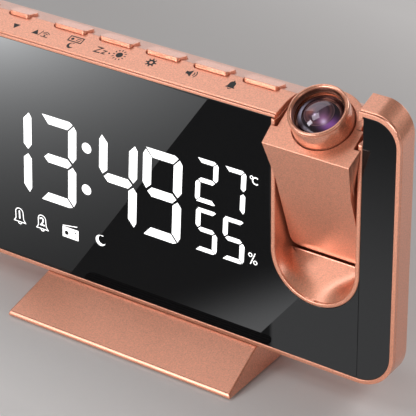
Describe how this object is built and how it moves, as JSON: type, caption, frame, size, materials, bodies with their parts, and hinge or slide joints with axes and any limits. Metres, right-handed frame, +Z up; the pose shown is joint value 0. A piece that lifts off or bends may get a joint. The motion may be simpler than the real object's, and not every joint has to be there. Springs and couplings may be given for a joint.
{
  "type": "projection alarm clock",
  "caption": "Projection alarm clock: black mirror display in a thin rose-gold frame, keys along the top, a tilting projector with a focus ring in a U-shaped well, and a wedge foot.",
  "frame": {"origin": "middle of the bounding box in plan, on the table under the rubber strips", "axes": "+X to the right along the display as it is read, +Y from the display towards the back, +Z up"},
  "size_m": [0.18, 0.0486, 0.1033],
  "materials": {
    "shell": "satin rose-gold metallic paint on ABS",
    "frame": "bright rose-gold metallic paint on ABS",
    "keys": "satin rose-gold metallic paint on ABS",
    "mirror_black": "gloss black half-mirror acrylic",
    "dark_plastic": "black moulded plastic",
    "white_plastic": "white moulded plastic",
    "board": "green solder resist on glass-epoxy",
    "steel": "plated steel",
    "dark_steel": "blackened steel",
    "optics": "coated clear lens",
    "film": "liquid crystal slide",
    "rubber": "matt black rubber",
    "speaker_cone": "black paper cone on steel basket"
  },
  "bodies": {
    "clock": {"foot": "shell", "foot_plate": "dark_plastic", "foot_pads": "rubber", "foot_screws": "dark_steel", "front_frame": "frame", "housing": "shell", "rear_cover": "shell", "rear_screws": "dark_steel", "display_lens": "mirror_black", "side_strip": "mirror_black", "projector_well": "shell", "digit_module": "white_plastic", "led_board": "board", "board_spacers": "steel", "main_board": "board", "main_chips": "dark_plastic", "climate_sensor": "white_plastic", "key_board": "board", "tact_switches": "dark_plastic", "speaker": "speaker_cone", "speaker_ring": "steel", "dc_jack": "dark_plastic", "usb_socket": "steel", "coin_cell": "steel", "cell_holder": "dark_plastic", "hinge_pin": "steel"},
    "arm": {"arm_body": "shell", "arm_plate": "shell", "arm_washers": "white_plastic", "projector_led": "white_plastic", "projector_slide": "film", "condenser_lens": "optics"},
    "focus_ring": {"focus_ring": "frame"},
    "lens": {"lens_carrier": "dark_plastic", "objective_lens": "optics"},
    "battery_cap": {"battery_cap": "shell"},
    "key_down": {"key_down": "keys"},
    "key_up": {"key_up": "keys"},
    "key_radio": {"key_radio": "keys"},
    "key_dimmer": {"key_dimmer": "keys"},
    "key_set": {"key_set": "keys"},
    "key_volume": {"key_volume": "keys"},
    "key_alarm": {"key_alarm": "keys"}
  },
  "joints": [
    {"name": "arm_tilt", "type": "hinge", "parent": "clock", "child": "arm", "pos_m": [0.062, 0.00885, 0.05], "axis": [1, 0, 0], "range_deg": [0, 60]},
    {"name": "focus_turn", "type": "hinge", "parent": "arm", "child": "focus_ring", "pos_m": [0.062, -0.00145, 0.09114], "axis": [0, -0.5, 0.866], "range_deg": [0, 270]},
    {"name": "lens_focus", "type": "slide", "parent": "arm", "child": "lens", "axis": [0, -0.5, 0.866], "range_m": [0, 0.0012]},
    {"name": "cap_turn", "type": "hinge", "parent": "clock", "child": "battery_cap", "pos_m": [0.008, 0.02325, 0.058], "axis": [0, 1, 0], "range_deg": [0, 60]},
    {"name": "press_down", "type": "slide", "parent": "clock", "child": "key_down", "axis": [0, 0, -1], "range_m": [0, 0.0008], "stiffness_N_per_m": 600},
    {"name": "press_up", "type": "slide", "parent": "clock", "child": "key_up", "axis": [0, 0, -1], "range_m": [0, 0.0008], "stiffness_N_per_m": 600},
    {"name": "press_radio", "type": "slide", "parent": "clock", "child": "key_radio", "axis": [0, 0, -1], "range_m": [0, 0.0008], "stiffness_N_per_m": 600},
    {"name": "press_dimmer", "type": "slide", "parent": "clock", "child": "key_dimmer", "axis": [0, 0, -1], "range_m": [0, 0.0008], "stiffness_N_per_m": 600},
    {"name": "press_set", "type": "slide", "parent": "clock", "child": "key_set", "axis": [0, 0, -1], "range_m": [0, 0.0008], "stiffness_N_per_m": 600},
    {"name": "press_volume", "type": "slide", "parent": "clock", "child": "key_volume", "axis": [0, 0, -1], "range_m": [0, 0.0008], "stiffness_N_per_m": 600},
    {"name": "press_alarm", "type": "slide", "parent": "clock", "child": "key_alarm", "axis": [0, 0, -1], "range_m": [0, 0.0008], "stiffness_N_per_m": 600}
  ],
  "couplings": [
    {"joint": "lens_focus", "follows": "focus_turn", "m_per_rad": 0.00025465}
  ]
}
